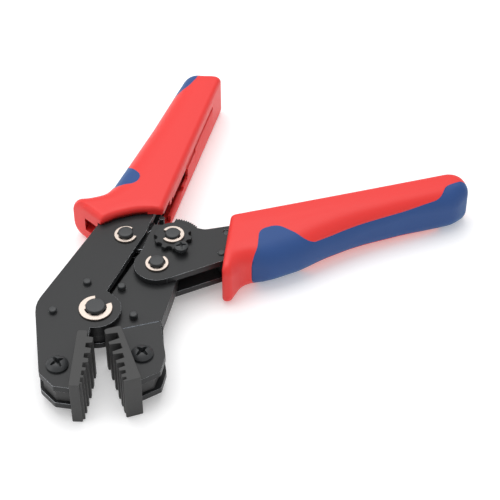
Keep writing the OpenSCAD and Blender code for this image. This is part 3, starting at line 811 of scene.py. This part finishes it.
def crowned_screw(node_name, body, head_radius, rim, shank_radius, recess, spin):
    """A screw with a crowned head, turned on a lathe and recessed with a cross."""
    low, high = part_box(node_name)
    centre = (low + high) / 2
    bottom, top = ((point.z - centre.z) / MM for point in (low, high))
    head_low = top - recess["head"]
    crown = recess["head"] - rim
    sphere = (head_radius ** 2 + crown ** 2) / (2 * crown)
    profile = [(shank_radius - 0.3, bottom), (shank_radius, bottom + 0.3),
               (shank_radius, head_low), (head_radius - 0.1, head_low),
               (head_radius, head_low + 0.1)]
    crown_steps = 8
    for k in range(crown_steps + 1):
        share = k / crown_steps
        radius = (head_radius - 0.04) * (1 - share) + 0.3 * share
        profile.append((radius, top + math.sqrt(sphere ** 2 - radius ** 2) - sphere))
    piece = turned(node_name + "_finished", centre, profile)
    settle(piece)
    tip = Vector((centre.x, centre.y, high.z))
    cross = cross_recess("recess", tip, recess["width"], recess["depth"], spin)
    combine(piece, cross, "DIFFERENCE")
    break_edges(piece, 0.05 * MM, 1, 40)
    hand_over(piece, body, [node_name], [dark_fastener()], 30)


class CrimperScrews(bpy.types.Operator):
    """The two die screws and the adjusting wheel's lock screw"""

    bl_idname = "crimper.screws"
    bl_label = "Screws"

    def execute(self, context):
        die = {"head": 2.5, "width": 6.2, "depth": 2.1}
        crowned_screw("die_screw_fixed", "frame", 4.0, 0.8, 2.0, die, math.radians(35))
        crowned_screw("die_screw_moving", "moving_jaw", 4.0, 0.8, 2.0, die, math.radians(48))
        lock = {"head": 1.8, "width": 4.2, "depth": 1.3}
        crowned_screw("wheel_lock_screw", "moving_handle", 2.65, 1.2, 1.15, lock, math.radians(10))
        return {"FINISHED"}


class CrimperWheel(bpy.types.Operator):
    """Scalloped adjusting wheel"""

    bl_idname = "crimper.wheel"
    bl_label = "Adjusting wheel"

    def execute(self, context):
        plate_piece("adjusting_wheel", "moving_handle", 0.2 * MM, materials=[black_oxide()] * 2)
        return {"FINISHED"}


class CrimperDies(bpy.types.Operator):
    """Fixed and moving dies"""

    bl_idname = "crimper.dies"
    bl_label = "Dies"

    def execute(self, context):
        width = settings("crimper_steel").die_edge
        for name, body in (("die_fixed", "frame"), ("die_moving", "moving_jaw")):
            plate_piece(name, body, width, [die_phosphate()] * 2, 25)
        return {"FINISHED"}


def wire_along(name, points, radius, sides=10):
    """A round wire through points, as a closed tube."""
    rings = []
    up = Vector((0, 0, 1))
    for index, point in enumerate(points):
        ahead = points[min(index + 1, len(points) - 1)] - points[max(index - 1, 0)]
        ahead.normalize()
        across = ahead.cross(up)
        if across.length < 0.05:
            across = ahead.cross(Vector((1, 0, 0)))
        across.normalize()
        over = across.cross(ahead)
        up = over
        rings.append([
            point + radius * (math.cos(a) * across + math.sin(a) * over)
            for a in (2 * math.pi * k / sides for k in range(sides))
        ])
    return stack_rings(name, rings)


class CrimperSprings(bpy.types.Operator):
    """Return spring and pawl spring, wound from round wire"""

    bl_idname = "crimper.springs"
    bl_label = "Springs"

    def execute(self, context):
        # radii of the wire, the coil and the end hooks
        wire, coil, hook = 0.4, 2.0, 1.9
        low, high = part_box("spring_hook_pin"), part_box("spring_post")
        start, end = ((a + b) / 2 for a, b in (low, high))
        start.z = end.z = MAIN.z
        along = (end - start).normalized()
        left = Vector((-along.y, along.x, 0))
        up = Vector((0, 0, 1))
        far = (end - start).length / MM
        coil_from, coil_to = hook + 2.2, far - hook - 1.6

        def place(x, y, z):
            return start + (along * x + left * y + up * z) * MM

        points = [
            place(hook * math.cos(a), hook * math.sin(a), 0)
            for a in (math.radians(200 - 115 * k / 8) for k in range(9))
        ]
        points.append(place(coil_from - 0.6, hook, 0))
        turns = int((coil_to - coil_from) / (2 * wire + 0.06))
        steps = 14
        for k in range(turns * steps + 1):
            a = 2 * math.pi * k / steps
            x = coil_from + (coil_to - coil_from) * k / (turns * steps)
            points.append(place(x, coil * math.cos(a), coil * math.sin(a)))
        points.append(place(coil_to + 0.6, hook, 0))
        points += [
            place(far + hook * math.cos(a), hook * math.sin(a), 0)
            for a in (math.radians(90 - 330 * k / 20) for k in range(21))
        ]
        piece = wire_along("return_spring_finished", points, wire * MM)
        hand_over(piece, "frame", ["return_spring"], [spring_wire()], 60)

        low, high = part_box("pawl_spring")
        centre = (low + high) / 2
        radius = (high.x - low.x) / 2 / MM - 0.3
        points = [
            centre + Vector((
                radius * math.cos(2 * math.pi * k / 16),
                radius * math.sin(2 * math.pi * k / 16),
                -0.12 + 0.24 * k / 26,
            )) * MM
            for k in range(27)
        ]
        piece = wire_along("pawl_spring_finished", points, 0.17 * MM, 8)
        hand_over(piece, "toggle_link", ["pawl_spring"], [spring_wire()], 60)
        return {"FINISHED"}


# ---------------------------------------------------------------- grips

FIXED = {"start": (22.5, 49.5), "lean": 75, "side": 1, "length": 85}
MOVING = {"start": (49, 47.4), "lean": 15.8, "side": -1, "length": 92.5}


def placer(grip):
    """A function from u along and v across a grip to the plan point, in metres."""
    angle, side, start = math.radians(grip["lean"]), grip["side"], grip["start"]

    def place(u, v):
        return Vector((
            MAIN.x + (start[0] + u * math.cos(angle) - side * v * math.sin(angle)) * MM,
            MAIN.y + (start[1] + u * math.sin(angle) + side * v * math.cos(angle)) * MM,
        ))

    return place


# Half of the space inside the grips for the plates, and of the fixed grip's open window
TANG_HALF = 5.65
WINDOW_HALF = 2.4

# Corners of each grip: along, across, corner radius, radius of the rolled edge, and
# the point along and across that the rolled edge leans towards
FIXED_CORNERS = [
    (0.2, 0, 1.5, 2.2, 3.5, 8),
    (84.7, 0.3, 2.5, 2.2, 79, 7.5),
    (84.6, 15.2, 5.5, 5.5, 78, 8.5),
    (72, 17.5, 40, 8, 70, 8.3),
    (48, 19.9, 60, 8.6, 47, 9.5),
    (23, 22.9, 40, 8.6, 22, 11.5),
    (10, 24.3, 10, 8, 8, 13.5),
    (4.5, 25.6, 6, 6, 0.5, 19),
    (1.4, 29, 8, 4.8, -3.6, 26.6),
    (-0.4, 36, 2, 7.5, -4.4, 28.2),
    (-3.3, 35.4, 1.4, 6.6, -4.9, 28),
    (-6.23, 30.2, 20, 3.2, -5.4, 26.3),
    (-8.33, 26.4, 20, 2.6, -6.2, 24),
    (-11.4, 20.9, 1.3, 2.4, -7.6, 20.6),
    (-6.8, 16.6, 14, 1.8, -3.5, 18.5),
    (-2.2, 10, 20, 1.8, 2, 12.8),
    (-0.3, 4, 8, 1.8, 3.2, 9.5),
]
MOVING_CORNERS = [
    (-0.6, 0, 2, 2.4, 3.5, 8),
    (92.3, 0, 6.5, 3.4, 85, 6.5),
    (92.8, 10.2, 5, 5, 85, 8.3),
    (86, 14.9, 9, 7.5, 82, 8.1),
    (66, 15, 60, 8.2, 65, 8.1),
    (48.3, 16.9, 80, 8.6, 47.5, 8.5),
    (31.8, 20.6, 50, 8.6, 30, 10),
    (20.4, 24.4, 20, 8.8, 18, 12),
    (9, 26.2, 14, 8.8, 5, 14.5),
    (-2, 23.9, 8, 6.3, -4.8, 17.5),
    (-9, 30.4, 1.8, 4.5, -8.6, 25),
    (-12, 28.5, 1.8, 3, -9, 24.6),
    (-8.5, 19.7, 30, 1.9, -5.2, 17),
]

# Areas of the soft inlays: a lobe at the front, a strip along the palm, the rear end
FIXED_INLAY = [
    (4.4, 38), (6.5, 24.5, 3), (8.8, 20.6, 5), (11, 14, 4), (16.2, 13.8, 4), (22, 21.4, 5),
    (27, 22, 6), (48, 19.3, 60), (68, 17.1, 5), (74.5, 11.7, 6), (80, 10.1, 6), (89, 9.9),
    (89, 38),
]
MOVING_INLAY = [
    (-1.8, 34), (-0.2, 25.5, 3), (4, 20.8, 8), (7.2, 12, 4.5), (14.4, 11.4, 5.5),
    (23.8, 21.4, 6), (31, 19.4, 30), (45, 16.1, 90), (79.5, 12.9, 6),
    (83.2, 8.3, 5), (90, 6.9, 9), (96.5, 7.6), (96.5, 34),
]


# How far the tang ends before a grip does, and the clearance round it and round a rivet
TANG_SHORT = 17
CLEARANCE = 0.15


def slot_corners(grip):
    """Outline of the slot for the tang of the plates, as the CAD model cuts it."""
    end = grip["length"] - TANG_SHORT + CLEARANCE
    if grip is FIXED:
        return [(-30, 3.45), (end, 3.45), (end, 12.65), (11.5, 14.35), (-3.2, 21.45), (-30, 26.95)]
    return [(-15, 2.2), (2, 2.2), (10, 3.45), (end, 3.85), (end, 12.15), (26, 14.75),
            (0, 21.2), (-15, 22.4)]


def build_grip(grip, name, corners, inlay_area, body, cutters):
    """A grip's shell and its inlay, split from one moulded solid and hollowed."""
    grips = settings("crimper_grips")
    place = placer(grip)
    shell = moulded(name + "_finished", place, corners)
    settle(shell)
    edge = prism("inlay edge", place, inlay_area, -12, 12)
    inlay = shell.copy()
    inlay.data = shell.data.copy()
    inlay.name = inlay.data.name = name + "_inlay_finished"
    bpy.context.scene.collection.objects.link(inlay)
    combine(inlay, edge, "INTERSECT", keep=True)
    combine(shell, edge, "DIFFERENCE")
    slot = prism("tang slot", place, slot_corners(grip), -TANG_HALF, TANG_HALF)
    combine(shell, slot, "DIFFERENCE", keep=True)
    combine(inlay, slot, "DIFFERENCE")
    for cutter in cutters(grip):
        combine(shell, cutter, "DIFFERENCE")
    break_edges(shell, grips.seam, 2, 38)
    break_edges(inlay, grips.seam, 2, 38, edge_slot=1)
    hand_over(shell, body, [name], [red_shell()], 32)
    hand_over(inlay, body, [name + "_inlay"], [blue_inlay(), seam_shade()], 32)


def local_block(grip, u, v, z):
    """A box cutter over the ranges u, v and z of a grip's own frame."""
    spot = placer(grip)(sum(u) / 2, sum(v) / 2)
    centre = (*spot, MAIN.z + sum(z) / 2 * MM)
    size = (u[1] - u[0], v[1] - v[0], z[1] - z[0])
    return block("cutter", centre, size, math.radians(grip["lean"]))


def fixed_cutters(grip):
    """Window, stepped wall, groove and hollow guard of the fixed grip."""
    place = placer(grip)
    window = [(-9, -3), (33, -3), (33, 6), (-9, 6)]
    yield prism("window", place, window, -WINDOW_HALF, WINDOW_HALF)
    yield prism("window middle", place, [(u - (u > 0), v) for u, v in window], -3, 3)
    yield local_block(grip, (-9, 9), (-3, 6), (-TANG_HALF, TANG_HALF))
    yield local_block(grip, (-9, 34), (1.2, 6), (-TANG_HALF, TANG_HALF))
    yield local_block(grip, (24, 27), (-3, 6), (-4, 2))
    yield local_block(grip, (11, 13), (-3, 4), (0, 4.2))
    yield local_block(grip, (31, 70), (-0.6, 0.7), (2.7, 4.3))
    yield local_block(grip, (31, 44), (-0.6, 0.7), (1.2, 4.3))
    yield prism("guard hollow", place, [(-20, 18), (2, 20), (0, 29.5), (-20, 29.5)], -3, 3)


def moving_cutters(grip):
    """Relief for the front rivet, and the parting line along the inner side."""
    rivets = solids_of("handle_rivets")
    low, high = min(rivets, key=lambda pair: pair[0].y)
    radius = (high.x - low.x) / 2 / MM + CLEARANCE
    yield turned("relief", (low + high) / 2, [(radius, -8), (radius, 8)])
    yield local_block(grip, (8, 84), (-0.6, 0.12), (-0.12, 0.12))


class CrimperFixedGrip(bpy.types.Operator):
    """Fixed grip: rounded shell with its windows, and the soft inlay"""

    bl_idname = "crimper.fixed_grip"
    bl_label = "Fixed grip"

    def execute(self, context):
        build_grip(FIXED, "fixed_grip", FIXED_CORNERS, FIXED_INLAY, "frame", fixed_cutters)
        return {"FINISHED"}


class CrimperMovingGrip(bpy.types.Operator):
    """Moving grip: rounded shell and the soft inlay"""

    bl_idname = "crimper.moving_grip"
    bl_label = "Moving grip"

    def execute(self, context):
        build_grip(MOVING, "moving_grip", MOVING_CORNERS, MOVING_INLAY, "moving_handle",
                   moving_cutters)
        return {"FINISHED"}


# ---------------------------------------------------------------- stage


# The point that the camera looks at, from the main pivot, in metres
LOOK_AT = Vector((0.0557, 0.0363, 0))


class CrimperStage(bpy.types.Operator):
    """Pale floor, soft studio light and the camera"""

    bl_idname = "crimper.stage"
    bl_label = "Stage"

    def execute(self, context):
        scene = context.scene
        stage = scene.crimper_stage
        deselect()
        bpy.ops.mesh.primitive_plane_add(size=6, location=(0, 0, 0))
        floor = context.object
        floor.name = "studio_floor"
        floor.data.materials.append(surface(
            "Studio floor", (0.86, 0.86, 0.865), 0.6, 0.03, (300, 4), (0.0, 0.01), contrast=0.01,
            Emission_Color=(1, 1, 1, 1), Emission_Strength=0.24,
        ))
        world = bpy.data.worlds.new("Studio")
        world.use_nodes = True
        world.node_tree.nodes["Background"].inputs["Color"].default_value = (1, 1, 1, 1)
        world.node_tree.nodes["Background"].inputs["Strength"].default_value = stage.fill
        scene.world = world
        target = MAIN + LOOK_AT
        for name, offset, size, power in (
            ("Overhead softbox", (-0.12, 0.3, 0.8), 0.8, stage.softbox),
            ("Side softbox", (-0.75, -0.15, 0.5), 0.6, stage.softbox * 0.3),
        ):
            data = bpy.data.lights.new(name, "AREA")
            data.size = size
            data.energy = power
            light = bpy.data.objects.new(name, data)
            light.location = target + Vector(offset)
            light.rotation_euler = (target - light.location).to_track_quat("-Z", "Y").to_euler()
            scene.collection.objects.link(light)
        camera = bpy.data.objects.new("Camera", bpy.data.cameras.new("Camera"))
        camera.data.lens = stage.lens
        camera.data.sensor_width = 36
        away = Vector((0, -math.cos(stage.elevation), math.sin(stage.elevation)))
        camera.location = target + away * stage.distance
        camera.rotation_euler = (target - camera.location).to_track_quat("-Z", "Y").to_euler()
        camera.data.clip_start = 0.01
        scene.collection.objects.link(camera)
        scene.camera = camera
        scene.view_settings.view_transform = "Standard"
        return {"FINISHED"}


# ---------------------------------------------------------------- add-on

OPERATORS = (
    CrimperStage,
    CrimperFramePlates,
    CrimperJawPlates,
    CrimperHandlePlates,
    CrimperToggleLink,
    CrimperPins,
    CrimperClips,
    CrimperRivets,
    CrimperScrews,
    CrimperWheel,
    CrimperDies,
    CrimperSprings,
    CrimperFixedGrip,
    CrimperMovingGrip,
)


class CrimperPanel(bpy.types.Panel):
    """Buttons that build the tool's pieces"""

    bl_idname = "VIEW3D_PT_crimper"
    bl_label = "Crimping Pliers"
    bl_space_type = "VIEW_3D"
    bl_region_type = "UI"
    bl_category = "Crimping Pliers"

    def draw(self, context):
        for operator in OPERATORS:
            self.layout.operator(operator.bl_idname)


SETTINGS = {
    "crimper_steel": CrimperSteelSettings,
    "crimper_grips": CrimperGripSettings,
    "crimper_stage": CrimperStageSettings,
}


def register():
    for name, group in SETTINGS.items():
        bpy.utils.register_class(group)
        setattr(bpy.types.Scene, name, bpy.props.PointerProperty(type=group))
    for each in (*OPERATORS, CrimperPanel):
        bpy.utils.register_class(each)


def unregister():
    for each in (CrimperPanel, *reversed(OPERATORS)):
        bpy.utils.unregister_class(each)
    for name, group in SETTINGS.items():
        delattr(bpy.types.Scene, name)
        bpy.utils.unregister_class(group)


def main():
    register()
    for operator in OPERATORS:
        family, _, action = operator.bl_idname.partition(".")
        getattr(getattr(bpy.ops, family), action)()


if __name__ == "__main__":
    main()
